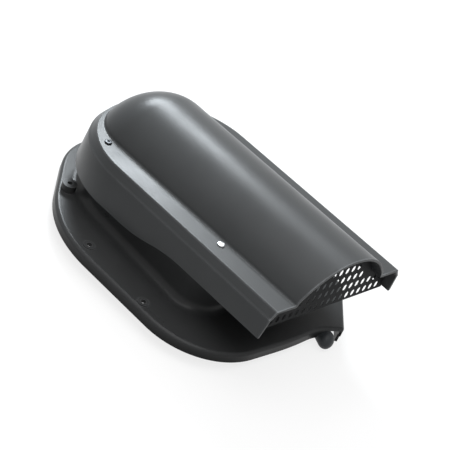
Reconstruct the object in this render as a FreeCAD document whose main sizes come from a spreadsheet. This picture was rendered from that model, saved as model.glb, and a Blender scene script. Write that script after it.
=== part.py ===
"""Roof tile vent: a flanged base, a pitched hood with a round barrel, and a slotted mouth grille.

Millimetres, +Z up. The mouth faces -Y. Z = 0 is the foot of the spigot under the flange.
"""
import FreeCAD, Part
import math
import os

import Sketcher

# Driving dimensions, millimetres and degrees.
SIZES = {
    # flange of the base
    "flange_length": 333,
    "shoulder_width": 283,
    "flange_wall": 3,
    "rim_height": 11.6,
    "rim_round": 4,
    "front_width": 258,
    "front_bow": 7,
    "front_bow_radius": 400,
    "front_corner_radius": 84,
    "widest_back": 68,
    "nose_width": 77,
    "shoulder_radius": 130,
    "nose_radius": 84,
    # ear at the front right, with its lip and the round buffer under it
    "ear_root_x": 42,
    "ear_root_radius": 60,
    "ear_tip_x": 71.5,
    "ear_reach": 10,
    "ear_tip_radius": 6,
    "ear_bend_back": 50.5,
    "lip_setback": 5.5,
    "lip_length": 22,
    "lip_drop": 11,
    "notch_side": 18.3,
    "notch_round": 4,
    "notch_step": 0.4,
    "buffer_x": 52.7,
    "buffer_reach": 4.5,
    "buffer_length": 30,
    "buffer_bevel": 1.6,
    "buffer_clearance": 0.3,
    # collar and spigot round the air passage
    "collar_gap": 3.8,
    "collar_wall": 3,
    "collar_front": 100,
    "collar_corner_radius": 28,
    "collar_root_radius": 10,
    "spigot_depth": 13.4,
    # screw holes of the flange
    "screw_hole_diameter": 5.5,
    "screw_boss_diameter": 13,
    "screw_boss_height": 0.8,
    "rear_boss_diameter": 16,
    "rear_boss_height": 8,
    "side_hole_spacing_x": 247,
    "side_hole_back": 23.5,
    "side_hole_spacing_y": 87.5,
    "rear_hole_spacing": 175,
    "rear_hole_back": 103.5,
    # hood
    "hood_pitch": 3.1,
    "ledge_height": 100.8,
    "hood_wall": 2.5,
    "barrel_width": 132.4,
    "barrel_height": 39.8,
    "barrel_side_radius": 10,
    "barrel_spring": 1.5,
    "dome_centre": 74,
    "barrel_root_radius": 1.5,
    "ledge_width": 184.6,
    "ledge_back_centre": 51,
    "ledge_round": 1.2,
    "step_width": 192.8,
    "step_drop": 10.7,
    "step_tread": 1.8,
    "step_tread_drop": 1.5,
    "hem_width": 205.4,
    "hem_drop": 43.5,
    "front_hem_drop": 33.8,
    "hem_sweep_front": 70,
    "hem_sweep_back": 20,
    "mouth_reach": 186.4,
    "mouth_rake": 6.3,
    # hood screws and the posts that take them
    "front_screw_inset": 12,
    "front_screw_setback": 14,
    "rear_screw_inset": 3,
    "rear_screw_angle": 26.9,
    "screw_shank_diameter": 4,
    "screw_length": 16,
    "screw_head_diameter": 8,
    "screw_head_height": 1.8,
    "screw_clearance": 0.2,
    "post_diameter": 12,
    "post_length": 34,
    # grille
    "grille_setback": 11.5,
    "grille_thickness": 2,
    "grille_clearance": 0.5,
    "slot_width": 4.2,
    "slot_length": 8.4,
    "slot_pitch_x": 9.5,
    "slot_pitch_z": 12.2,
    "slot_margin": 2.6,
}

doc = FreeCAD.newDocument("roof_tile_vent")
sheet = doc.addObject("Spreadsheet::Sheet", "sizes")
for row, (alias, number) in enumerate(SIZES.items(), start=1):
    sheet.set(f"A{row}", alias)
    sheet.set(f"B{row}", str(number))
    sheet.setAlias(f"B{row}", alias)
doc.recompute()


class Dim:
    """A size worked out from the sheet: its number, and the expression that keeps it bound."""

    def __init__(self, number, text):
        self.number = number
        self.text = text

    def _join(self, other, sign, number):
        text = other.text if isinstance(other, Dim) else repr(other)
        return Dim(number, f"({self.text} {sign} {text})")

    def __add__(self, other):
        return self._join(other, "+", self.number + plain(other))

    def __sub__(self, other):
        return self._join(other, "-", self.number - plain(other))

    def __mul__(self, other):
        return self._join(other, "*", self.number * plain(other))

    def __truediv__(self, other):
        return self._join(other, "/", self.number / plain(other))

    def __neg__(self):
        return Dim(-self.number, f"(0 - {self.text})")


def plain(value):
    return value.number if isinstance(value, Dim) else value


def size(alias):
    return Dim(float(sheet.get(alias)), f"sizes.{alias}")


def tangent(angle):
    return Dim(math.tan(math.radians(angle.number)), f"tan({angle.text} * 1deg)")


def cosine(angle):
    return Dim(math.cos(math.radians(angle.number)), f"cos({angle.text} * 1deg)")


def sine(angle):
    return Dim(math.sin(math.radians(angle.number)), f"sin({angle.text} * 1deg)")


def square_root(value):
    return Dim(math.sqrt(value.number), f"sqrt({value.text})")


ZERO = Dim(0.0, "0")
wall = size("hood_wall")
pitch = size("hood_pitch")
rake = size("mouth_rake")
flange_top = size("spigot_depth") + size("rim_height")
flange_under = flange_top - size("flange_wall")
half_flange = size("flange_length") / 2

# The barrel's upper lip is the foremost point of the vent and the flange's nose is the rearmost,
# so the flange's centre lies behind the origin by half the overhang.
lip_reach = size("mouth_reach") + size("barrel_height") * tangent(rake)
front_reach = lip_reach * cosine(pitch) - size("barrel_height") * sine(pitch)
flange_centre = (front_reach - half_flange) / 2


def bind(item, prop, value):
    item.setExpression(prop, value.text)


def origin_plane(body, role):
    return next(item for item in body.Origin.OriginFeatures if item.Role == role)


def new_body(name):
    body = doc.addObject("PartDesign::Body", name)
    body.Label = name
    return body


def new_sketch(body, name, role, offset=None):
    """Sketch on one of the body's own planes, moved along the plane's normal."""
    sketch = body.newObject("Sketcher::SketchObject", name)
    sketch.AttachmentSupport = [(origin_plane(body, role), "")]
    sketch.MapMode = "FlatFace"
    if offset is not None:
        bind(sketch, "AttachmentOffset.Base.z", offset)
    return sketch


def pitched_sketch(body, name, level):
    """Sketch of the base in a plane parallel to the hood's ledge, at a level above that ledge."""
    sketch = new_sketch(body, name, "XY_Plane")
    sketch.AttachmentOffset = FreeCAD.Placement(FreeCAD.Vector(), pitch_turn())
    bind(sketch, "AttachmentOffset.Rotation.Angle", pitch)
    bind(sketch, "AttachmentOffset.Base.y", level * sine(pitch))
    bind(sketch, "AttachmentOffset.Base.z", size("ledge_height") + level * cosine(pitch))
    return sketch


def pitch_turn():
    """Turn that lifts the hood's mouth."""
    return FreeCAD.Rotation(FreeCAD.Vector(-1, 0, 0), pitch.number)


def hold(sketch, item, end, x, y):
    """Place one point of a sketch at (x, y) from the sheet's sizes."""
    for axis, kind, value in ((-2, "DistanceX", x), (-1, "DistanceY", y)):
        if abs(value.number) < 1e-9:
            sketch.addConstraint(Sketcher.Constraint("PointOnObject", item, end, axis))
        elif value.number > 0:
            mark = sketch.addConstraint(Sketcher.Constraint(kind, -1, 1, item, end, value.number))
            bind(sketch, f"Constraints[{mark}]", value)
        else:
            mark = sketch.addConstraint(Sketcher.Constraint(kind, item, end, -1, 1, -value.number))
            bind(sketch, f"Constraints[{mark}]", -value)


def set_radius(sketch, item, radius):
    mark = sketch.addConstraint(Sketcher.Constraint("Radius", item, radius.number))
    bind(sketch, f"Constraints[{mark}]", radius)


def polygon(sketch, corners):
    """Closed outline with straight sides and sharp corners."""
    points = [FreeCAD.Vector(x.number, y.number, 0) for x, y in corners]
    count = len(points)
    lines = [sketch.addGeometry(Part.LineSegment(points[i], points[(i + 1) % count]))
             for i in range(count)]
    for i in range(count):
        sketch.addConstraint(Sketcher.Constraint("Coincident", lines[i], 2, lines[(i + 1) % count], 1))
        hold(sketch, lines[i], 1, *corners[i])
    return lines


def circle(sketch, x, y, radius):
    item = sketch.addGeometry(Part.Circle(
        FreeCAD.Vector(x.number, y.number, 0), FreeCAD.Vector(0, 0, 1), radius.number))
    hold(sketch, item, 3, x, y)
    set_radius(sketch, item, radius)
    return item


def mirrored_pair(x, y):
    return ((x, y), (-x, y))


def u_outline(sketch, half_width, centre, front):
    """Straight sides from the front edge, closed by a half circle at the back."""
    across = half_width.number
    back_y = centre.number
    arc = sketch.addGeometry(Part.ArcOfCircle(
        Part.Circle(FreeCAD.Vector(0, back_y, 0), FreeCAD.Vector(0, 0, 1), across), 0, math.pi))
    corners = [(-across, back_y), (-across, front.number), (across, front.number), (across, back_y)]
    points = [FreeCAD.Vector(x, y, 0) for x, y in corners]
    lines = [sketch.addGeometry(Part.LineSegment(a, b)) for a, b in zip(points, points[1:])]
    sketch.addConstraint(Sketcher.Constraint("Tangent", arc, 2, lines[0], 1))
    sketch.addConstraint(Sketcher.Constraint("Coincident", lines[0], 2, lines[1], 1))
    sketch.addConstraint(Sketcher.Constraint("Coincident", lines[1], 2, lines[2], 1))
    sketch.addConstraint(Sketcher.Constraint("Tangent", lines[2], 2, arc, 1))
    sketch.addConstraint(Sketcher.Constraint("Horizontal", lines[1]))
    hold(sketch, arc, 3, ZERO, centre)
    set_radius(sketch, arc, half_width)
    mark = sketch.addConstraint(Sketcher.Constraint("DistanceY", lines[1], 1, -1, 1, -front.number))
    bind(sketch, f"Constraints[{mark}]", -front)


def arch_outline(sketch, half_width, height, side_radius, foot):
    """Basket-handle arch: two side arcs and a flatter crown arc, standing on short legs."""
    across, rise, small = half_width.number, height.number, side_radius.number
    crown = ((across - small) ** 2 + rise ** 2 - small ** 2) / (2 * (rise - small))
    lean = math.atan2(crown - rise, across - small)
    up = FreeCAD.Vector(0, 0, 1)
    right = sketch.addGeometry(Part.ArcOfCircle(
        Part.Circle(FreeCAD.Vector(across - small, 0, 0), up, small), 0, lean))
    top = sketch.addGeometry(Part.ArcOfCircle(
        Part.Circle(FreeCAD.Vector(0, rise - crown, 0), up, crown), lean, math.pi - lean))
    left = sketch.addGeometry(Part.ArcOfCircle(
        Part.Circle(FreeCAD.Vector(small - across, 0, 0), up, small), math.pi - lean, math.pi))
    corners = [(-across, 0), (-across, foot.number), (across, foot.number), (across, 0)]
    points = [FreeCAD.Vector(x, y, 0) for x, y in corners]
    legs = [sketch.addGeometry(Part.LineSegment(a, b)) for a, b in zip(points, points[1:])]
    sketch.addConstraint(Sketcher.Constraint("Tangent", right, 2, top, 1))
    sketch.addConstraint(Sketcher.Constraint("Tangent", top, 2, left, 1))
    sketch.addConstraint(Sketcher.Constraint("Coincident", left, 2, legs[0], 1))
    sketch.addConstraint(Sketcher.Constraint("Coincident", legs[0], 2, legs[1], 1))
    sketch.addConstraint(Sketcher.Constraint("Coincident", legs[1], 2, legs[2], 1))
    sketch.addConstraint(Sketcher.Constraint("Coincident", legs[2], 2, right, 1))
    hold(sketch, right, 3, half_width - side_radius, ZERO)
    hold(sketch, left, 3, side_radius - half_width, ZERO)
    set_radius(sketch, right, side_radius)
    set_radius(sketch, left, side_radius)
    hold(sketch, legs[1], 1, -half_width, foot)
    hold(sketch, legs[1], 2, half_width, foot)
    sketch.addConstraint(Sketcher.Constraint("PointOnObject", right, 1, -1))
    sketch.addConstraint(Sketcher.Constraint("PointOnObject", left, 2, -1))
    crown_size = (((half_width - side_radius) * (half_width - side_radius) + height * height
                   - side_radius * side_radius) / ((height - side_radius) * 2))
    set_radius(sketch, top, crown_size)


def feature(body, kind, name, sketch, **settings):
    item = body.newObject(f"PartDesign::{kind}", name)
    item.Profile = sketch
    for prop, value in settings.items():
        if isinstance(value, Dim):
            bind(item, prop, value)
        else:
            setattr(item, prop, value)
    return item


def loft(body, kind, name, sections):
    item = body.newObject(f"PartDesign::{kind}", name)
    item.Profile = sections[0]
    item.Sections = sections[1:]
    item.Ruled = True
    return item


def fillet(body, name, base, radius, wanted):
    """Round the edges of the last feature that pass the test."""
    doc.recompute()
    names = [f"Edge{i}" for i, edge in enumerate(base.Shape.Edges, start=1) if wanted(edge)]
    if not names:
        raise RuntimeError(f"{name}: no edge to round")
    item = body.newObject("PartDesign::Fillet", name)
    item.Base = (base, names)
    bind(item, "Radius", radius)
    return item


def edge_in_plane(edge, height):
    box = edge.BoundBox
    return abs(box.ZMin - height) < 1e-4 and abs(box.ZMax - height) < 1e-4


def collar_outline(sketch, half_width, centre, front, corner):
    """Half circle at the back, straight sides, rounded corners and a straight front."""
    across, back_y, near, small = half_width.number, centre.number, front.number, corner.number
    up = FreeCAD.Vector(0, 0, 1)
    back = sketch.addGeometry(Part.ArcOfCircle(
        Part.Circle(FreeCAD.Vector(0, back_y, 0), up, across), 0, math.pi))
    left_corner = sketch.addGeometry(Part.ArcOfCircle(
        Part.Circle(FreeCAD.Vector(small - across, near + small, 0), up, small), math.pi, 1.5 * math.pi))
    right_corner = sketch.addGeometry(Part.ArcOfCircle(
        Part.Circle(FreeCAD.Vector(across - small, near + small, 0), up, small), 1.5 * math.pi, 2 * math.pi))
    runs = (
        ((-across, back_y), (-across, near + small)),
        ((small - across, near), (across - small, near)),
        ((across, near + small), (across, back_y)),
    )
    lines = [sketch.addGeometry(Part.LineSegment(FreeCAD.Vector(*a, 0), FreeCAD.Vector(*b, 0)))
             for a, b in runs]
    chain = (back, lines[0], left_corner, lines[1], right_corner, lines[2], back)
    for one, two in zip(chain, chain[1:]):
        sketch.addConstraint(Sketcher.Constraint("Tangent", one, 2, two, 1))
    hold(sketch, back, 3, ZERO, centre)
    set_radius(sketch, back, half_width)
    set_radius(sketch, left_corner, corner)
    set_radius(sketch, right_corner, corner)
    hold(sketch, right_corner, 3, half_width - corner, front + corner)
    mark = sketch.addConstraint(Sketcher.Constraint("DistanceY", left_corner, 3, -1, 1, -(near + small)))
    bind(sketch, f"Constraints[{mark}]", -(front + corner))


def upright_at(corner):
    """Test for the upright edge that stands on an outline's corner."""
    x, y = corner[0].number, corner[1].number

    def wanted(edge):
        box = edge.BoundBox
        upright = box.ZLength > 1 and box.XLength + box.YLength < 1e-4
        return upright and abs(abs(box.Center.x) - abs(x)) < 1e-3 and abs(box.Center.y - y) < 1e-3

    return wanted


# Sizes shared by the hood, the collar under it and the grille in its mouth.
half_barrel = size("barrel_width") / 2
half_ledge = size("ledge_width") / 2
half_step = size("step_width") / 2
half_band = half_step - size("step_tread")
half_hem = size("hem_width") / 2
band_drop = size("step_drop") - size("step_tread_drop")
flare = (half_hem - half_step) / (size("hem_drop") - size("step_drop"))
half_front_hem = half_step + flare * (size("front_hem_drop") - size("step_drop"))
inner_step = wall * 0.6
mouth_overrun = size("grille_setback") * 3

# The collar stands inside the hood's skirt, and the screw posts stand against the collar's wall.
half_collar = half_ledge - wall - size("collar_gap")
rear_radius = half_collar - size("rear_screw_inset")
rear_angle = size("rear_screw_angle")
front_screw = (half_collar - size("front_screw_inset"), size("front_screw_setback") - size("collar_front"))
rear_screw = (rear_radius * cosine(rear_angle), size("ledge_back_centre") + rear_radius * sine(rear_angle))
screw_places = mirrored_pair(*front_screw) + mirrored_pair(*rear_screw)
bore_radius = size("screw_shank_diameter") / 2 + size("screw_clearance")

# Corners of the flange's outline on the right. The ear's outer edge runs straight from its tip
# to a bend on the flange's side.
front = (ZERO, -half_flange)
corner = (size("front_width") / 2, size("front_bow") - half_flange)
shoulder = (size("shoulder_width") / 2, size("widest_back"))
nose = (size("nose_width") / 2, half_flange)
side_slope = (shoulder[0] - corner[0]) / (shoulder[1] - corner[1])
ear_root = (size("ear_root_x"), size("front_bow") * size("ear_root_x") / corner[0] - half_flange)
ear_tip = (size("ear_tip_x"), -(half_flange + size("ear_reach")))
bend_y = size("ear_bend_back") - half_flange
ear_bend = (corner[0] + side_slope * (bend_y - corner[1]), bend_y)

# The buffer lies under the flange's plate in the rim's notch, and its foot is level with the spigot's.
buffer_radius = (flange_under - size("notch_step") - size("buffer_clearance")) / 2
buffer_face = half_flange + size("buffer_reach")


def build_base():
    """Flange with a turned-down rim and an ear, collar and spigot, screw posts and bosses."""
    body = new_body("base")
    body.Placement.Base = FreeCAD.Vector(0, flange_centre.number, 0)
    bind(body, "Placement.Base.y", flange_centre)

    outline = new_sketch(body, "flange_outline", "XY_Plane", size("spigot_depth"))
    left = [(-x, y) for x, y in (nose, shoulder, corner)]
    polygon(outline, [front, ear_root, ear_tip, ear_bend, shoulder, nose] + left)
    flange = feature(body, "Pad", "flange_blank", outline, Length=size("rim_height"))
    rounds = (("front_bow_round", front, "front_bow_radius"), ("left_corner", corner, "front_corner_radius"),
              ("right_bend", ear_bend, "front_corner_radius"), ("shoulders", shoulder, "shoulder_radius"),
              ("nose", nose, "nose_radius"), ("ear_root", ear_root, "ear_root_radius"),
              ("ear_tip", ear_tip, "ear_tip_radius"))
    for name, place, radius in rounds:
        flange = fillet(body, name, flange, size(radius), upright_at(place))
    flange = fillet(body, "rim_rounding", flange, size("rim_round"),
                    lambda edge: edge_in_plane(edge, flange_top.number))

    doc.recompute()
    faces = flange.Shape.Faces
    under = min(range(len(faces)), key=lambda i: faces[i].CenterOfMass.z)
    tray = body.newObject("PartDesign::Thickness", "flange_tray")
    tray.Base = (flange, [f"Face{under + 1}"])
    tray.Reversed = True
    bind(tray, "Value", size("flange_wall"))

    collar_top = size("ledge_height") + size("mouth_reach") * tangent(pitch)
    section = new_sketch(body, "collar_outline", "XY_Plane")
    collar_outline(section, half_collar, size("ledge_back_centre"), -size("collar_front"),
                   size("collar_corner_radius"))
    collar = feature(body, "Pad", "collar_blank", section, Length=collar_top)
    inside_collar = half_collar.number + 1e-3
    fillet(body, "collar_root", collar, size("collar_root_radius"),
           lambda edge: edge_in_plane(edge, flange_top.number)
           and max(abs(edge.BoundBox.XMin), abs(edge.BoundBox.XMax)) < inside_collar
           and edge.BoundBox.YMin > -size("collar_front").number - 1e-3)

    bore = new_sketch(body, "passage_outline", "XY_Plane")
    collar_outline(bore, half_collar - size("collar_wall"), size("ledge_back_centre"),
                   size("collar_wall") - size("collar_front"),
                   size("collar_corner_radius") - size("collar_wall"))
    feature(body, "Pocket", "air_passage", bore, Type="ThroughAll", Reversed=True)

    posts = pitched_sketch(body, "post_outlines", -wall)
    for x, y in screw_places:
        circle(posts, x, y, size("post_diameter") / 2)
    feature(body, "Pad", "screw_posts", posts, Length=size("post_length"), Reversed=True)

    seat = pitched_sketch(body, "seat_trim", -wall)
    trim_x, trim_y = size("shoulder_width"), size("flange_length")
    polygon(seat, [(trim_x, -trim_y), (trim_x, trim_y), (-trim_x, trim_y), (-trim_x, -trim_y)])
    feature(body, "Pocket", "hood_seat", seat, Type="ThroughAll", Reversed=True)

    half_gate = half_collar - size("collar_corner_radius")
    gate = pitched_sketch(body, "front_gate_outline", -size("front_hem_drop"))
    gate_back = size("collar_wall") * 2 - size("collar_front")
    gate_front = -(size("collar_front") + size("collar_wall"))
    polygon(gate, [(half_gate, gate_front), (half_gate, gate_back),
                   (-half_gate, gate_back), (-half_gate, gate_front)])
    feature(body, "Pocket", "front_gate", gate, Type="ThroughAll", Reversed=True)

    bores = pitched_sketch(body, "post_bores", -wall)
    for x, y in screw_places:
        circle(bores, x, y, bore_radius)
    feature(body, "Pocket", "post_bore", bores, Length=size("screw_length"))

    side_y = size("side_hole_back")
    side_holes = [place for y in (side_y, side_y - size("side_hole_spacing_y"))
                  for place in mirrored_pair(size("side_hole_spacing_x") / 2, y)]
    rear_holes = list(mirrored_pair(size("rear_hole_spacing") / 2, size("rear_hole_back")))
    for name, places, boss in (("side", side_holes, "screw_boss"), ("rear", rear_holes, "rear_boss")):
        rings = new_sketch(body, f"{name}_boss_outlines", "XY_Plane", flange_top - size("flange_wall") / 2)
        for x, y in places:
            circle(rings, x, y, size(f"{boss}_diameter") / 2)
        feature(body, "Pad", f"{name}_bosses", rings, Length=size(f"{boss}_height") + size("flange_wall") / 2)
    holes = new_sketch(body, "flange_hole_outlines", "XY_Plane", size("spigot_depth"))
    for x, y in side_holes + rear_holes:
        circle(holes, x, y, size("screw_hole_diameter") / 2)
    feature(body, "Pocket", "flange_holes", holes, Type="ThroughAll", Reversed=True)

    finish_ear(body)
    return body


def finish_ear(body):
    """Carry the ear's outer wall down as a lip, and open the rim over the buffer."""
    edge_x, edge_y = ear_bend[0] - ear_tip[0], ear_bend[1] - ear_tip[1]
    edge_length = square_root(edge_x * edge_x + edge_y * edge_y)
    along = (edge_x / edge_length, edge_y / edge_length)

    def on_edge(distance, depth):
        """Point at a distance from the tip along the ear's outer edge, and a depth inside it."""
        return (ear_tip[0] + along[0] * distance - along[1] * depth,
                ear_tip[1] + along[1] * distance + along[0] * depth)

    near, far = size("lip_setback"), size("lip_setback") + size("lip_length")
    strip = new_sketch(body, "lip_outline", "XY_Plane", size("spigot_depth") - size("lip_drop"))
    polygon(strip, [on_edge(near, ZERO), on_edge(far, ZERO),
                    on_edge(far, size("flange_wall")), on_edge(near, size("flange_wall"))])
    feature(body, "Pad", "ear_lip", strip, Length=size("lip_drop") + size("flange_wall"))

    axis_x, axis_z = size("buffer_x"), buffer_radius
    arch = buffer_radius + size("buffer_clearance")
    right, small = axis_x + size("notch_side"), size("notch_round")
    top = axis_z + arch
    up = FreeCAD.Vector(0, 0, 1)
    section = new_sketch(body, "notch_section", "XZ_Plane", -ear_tip[1] + size("flange_wall"))
    over = section.addGeometry(Part.ArcOfCircle(
        Part.Circle(FreeCAD.Vector(axis_x.number, axis_z.number, 0), up, arch.number), math.pi / 2, math.pi))
    turn_centre = (right - small, top - small)
    turn = section.addGeometry(Part.ArcOfCircle(
        Part.Circle(FreeCAD.Vector(turn_centre[0].number, turn_centre[1].number, 0), up, small.number),
        0, math.pi / 2))
    runs = (
        ((axis_x - arch, axis_z), (axis_x - arch, ZERO)),
        ((axis_x - arch, ZERO), (right, ZERO)),
        ((right, ZERO), (right, top - small)),
        ((right - small, top), (axis_x, top)),
    )
    lines = [section.addGeometry(Part.LineSegment(FreeCAD.Vector(a[0].number, a[1].number, 0),
                                                  FreeCAD.Vector(b[0].number, b[1].number, 0)))
             for a, b in runs]
    for item, (start, _) in zip(lines, runs):
        hold(section, item, 1, *start)
    joints = ((over, 2, lines[0], 1), (lines[0], 2, lines[1], 1), (lines[1], 2, lines[2], 1),
              (lines[2], 2, turn, 1), (turn, 2, lines[3], 1), (lines[3], 2, over, 1))
    for joint in joints:
        section.addConstraint(Sketcher.Constraint("Coincident", *joint))
    hold(section, over, 3, axis_x, axis_z)
    hold(section, turn, 3, *turn_centre)
    feature(body, "Pocket", "buffer_notch", section, Length=size("buffer_length"))


def place_hood_frame(body):
    """Put a body drawn about the hood's ledge at the hood's place and pitch."""
    body.Placement = FreeCAD.Placement(FreeCAD.Vector(), pitch_turn())
    bind(body, "Placement.Rotation.Angle", pitch)
    bind(body, "Placement.Base.y", flange_centre)
    bind(body, "Placement.Base.z", size("ledge_height"))


def half_arch(sketch, half_width, height, side_radius, foot):
    """Right half of the barrel's arch, closed along the upright axis."""
    across, rise, small = half_width.number, height.number, side_radius.number
    crown = ((across - small) ** 2 + rise ** 2 - small ** 2) / (2 * (rise - small))
    lean = math.atan2(crown - rise, across - small)
    up = FreeCAD.Vector(0, 0, 1)
    side = sketch.addGeometry(Part.ArcOfCircle(
        Part.Circle(FreeCAD.Vector(across - small, 0, 0), up, small), 0, lean))
    top = sketch.addGeometry(Part.ArcOfCircle(
        Part.Circle(FreeCAD.Vector(0, rise - crown, 0), up, crown), lean, math.pi / 2))
    corners = [(0, rise), (0, foot.number), (across, foot.number), (across, 0)]
    points = [FreeCAD.Vector(x, y, 0) for x, y in corners]
    lines = [sketch.addGeometry(Part.LineSegment(a, b)) for a, b in zip(points, points[1:])]
    sketch.addConstraint(Sketcher.Constraint("Tangent", side, 2, top, 1))
    sketch.addConstraint(Sketcher.Constraint("Coincident", top, 2, lines[0], 1))
    sketch.addConstraint(Sketcher.Constraint("Coincident", lines[0], 2, lines[1], 1))
    sketch.addConstraint(Sketcher.Constraint("Coincident", lines[1], 2, lines[2], 1))
    sketch.addConstraint(Sketcher.Constraint("Coincident", lines[2], 2, side, 1))
    hold(sketch, side, 3, half_width - side_radius, ZERO)
    set_radius(sketch, side, side_radius)
    hold(sketch, lines[0], 1, ZERO, height)
    hold(sketch, lines[1], 1, ZERO, foot)
    hold(sketch, lines[2], 1, half_width, foot)
    sketch.addConstraint(Sketcher.Constraint("PointOnObject", side, 1, -1))
    sketch.addConstraint(Sketcher.Constraint("PointOnObject", top, 3, -2))


def build_hood():
    """Pitched hood: skirt with a stepped flank, flat ledge, and a barrel that ends in a dome."""
    body = new_body("hood")
    place_hood_frame(body)
    overrun = -(size("mouth_reach") + mouth_overrun)
    back = size("ledge_back_centre")

    def skirt(kind, name, front, levels):
        sections = []
        for number, (half_width, drop) in enumerate(levels):
            sketch = new_sketch(body, f"{name}_section_{number}", "XY_Plane", -drop)
            u_outline(sketch, half_width, back, front)
            sections.append(sketch)
        return loft(body, kind, name, sections)

    skirt("AdditiveLoft", "skirt", overrun, (
        (half_ledge, ZERO), (half_band, band_drop),
        (half_step, size("step_drop")), (half_hem, size("hem_drop"))))

    spring = size("barrel_spring")
    arch = (half_barrel, size("barrel_height") + spring, size("barrel_side_radius"), -wall / 5)
    inner_arch = (half_barrel - wall, size("barrel_height") + spring - wall,
                  size("barrel_side_radius") - wall, -wall)

    def across_section(name):
        sketch = new_sketch(body, name, "XZ_Plane", -size("dome_centre"))
        bind(sketch, "AttachmentOffset.Base.y", -spring)
        return sketch

    def along_section(name):
        sketch = new_sketch(body, name, "YZ_Plane")
        bind(sketch, "AttachmentOffset.Base.x", size("dome_centre"))
        bind(sketch, "AttachmentOffset.Base.y", -spring)
        return sketch

    barrel_section = across_section("barrel_section")
    arch_outline(barrel_section, *arch)
    run = size("dome_centre") - overrun
    feature(body, "Pad", "barrel", barrel_section, Length=run)

    dome_section = along_section("dome_section")
    half_arch(dome_section, *arch)
    dome = feature(body, "Revolution", "dome", dome_section, Angle=180, Midplane=True,
                   ReferenceAxis=(dome_section, ["V_Axis"]))

    between = (half_barrel.number + half_ledge.number) / 2

    def ledge_edge(edge):
        return edge_in_plane(edge, 0) and edge.BoundBox.YLength > 1

    def reach(edge):
        return max(abs(edge.BoundBox.XMin), abs(edge.BoundBox.XMax))

    skirt("SubtractiveLoft", "skirt_inside", overrun - wall, (
        (half_ledge - wall, wall), (half_band - wall, band_drop + inner_step),
        (half_step - wall, size("step_drop") + inner_step),
        (half_hem - wall + flare * wall, size("hem_drop") + wall)))

    barrel_inside = across_section("barrel_inside_section")
    arch_outline(barrel_inside, *inner_arch)
    feature(body, "Pocket", "barrel_inside", barrel_inside, Length=run + wall, Reversed=True)
    dome_inside = along_section("dome_inside_section")
    half_arch(dome_inside, *inner_arch)
    feature(body, "Groove", "dome_inside", dome_inside, Angle=180, Midplane=True,
            ReferenceAxis=(dome_inside, ["V_Axis"]))

    mouth = new_sketch(body, "mouth_trim", "YZ_Plane")
    high, low = size("barrel_height") * 2, -size("hem_drop") * 2
    polygon(mouth, [(-(size("mouth_reach") + high * tangent(rake)), high),
                    (-(size("mouth_reach") + low * tangent(rake)), low),
                    (overrun * 2, low), (overrun * 2, high)])
    feature(body, "Pocket", "mouth", mouth, Type="ThroughAll", Midplane=True)

    trim_hem(body, overrun)

    holes = new_sketch(body, "ledge_holes", "XY_Plane")
    for x, y in screw_places:
        circle(holes, x, y, bore_radius)
    drilled = feature(body, "Pocket", "screw_holes", holes, Length=wall * 2)
    rounded = fillet(body, "ledge_rounding", drilled, size("ledge_round"),
                     lambda edge: ledge_edge(edge) and abs(reach(edge) - half_ledge.number) < 1e-3)
    fillet(body, "barrel_root", rounded, size("barrel_root_radius"),
           lambda edge: ledge_edge(edge) and abs(reach(edge) - half_barrel.number) < 0.5)
    return body


def trim_hem(body, overrun):
    """Raise the front of the hem along an S made of two equal arcs."""
    sketch = new_sketch(body, "hem_trim", "YZ_Plane")
    near, far = -size("hem_sweep_front"), size("hem_sweep_back")
    high, low = -size("front_hem_drop"), -size("hem_drop")
    rise, run = high - low, far - near
    radius = (rise * rise + run * run) / (rise * 4)
    half_turn = math.asin(run.number / 2 / radius.number)
    up = FreeCAD.Vector(0, 0, 1)
    lower = sketch.addGeometry(Part.ArcOfCircle(
        Part.Circle(FreeCAD.Vector(far.number, low.number + radius.number, 0), up, radius.number),
        -math.pi / 2 - half_turn, -math.pi / 2))
    upper = sketch.addGeometry(Part.ArcOfCircle(
        Part.Circle(FreeCAD.Vector(near.number, high.number - radius.number, 0), up, radius.number),
        math.pi / 2 - half_turn, math.pi / 2))
    below = low - size("hood_wall") * 4
    corners = [(near, high), (overrun, high), (overrun, below), (far, below), (far, low)]
    points = [FreeCAD.Vector(x.number, y.number, 0) for x, y in corners]
    lines = [sketch.addGeometry(Part.LineSegment(a, b)) for a, b in zip(points, points[1:])]
    for one, two in zip(lines, lines[1:]):
        sketch.addConstraint(Sketcher.Constraint("Coincident", one, 2, two, 1))
    for item, corner in zip(lines, corners):
        hold(sketch, item, 1, *corner)
    hold(sketch, lines[-1], 2, *corners[-1])
    sketch.addConstraint(Sketcher.Constraint("Coincident", upper, 2, lines[0], 1))
    sketch.addConstraint(Sketcher.Constraint("Coincident", lower, 2, lines[-1], 2))
    sketch.addConstraint(Sketcher.Constraint("Tangent", lower, 1, upper, 1))
    set_radius(sketch, lower, radius)
    set_radius(sketch, upper, radius)
    sketch.addConstraint(Sketcher.Constraint("Vertical", lower, 2, lower, 3))
    feature(body, "Pocket", "hem_sweep", sketch, Type="ThroughAll", Midplane=True)


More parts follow.
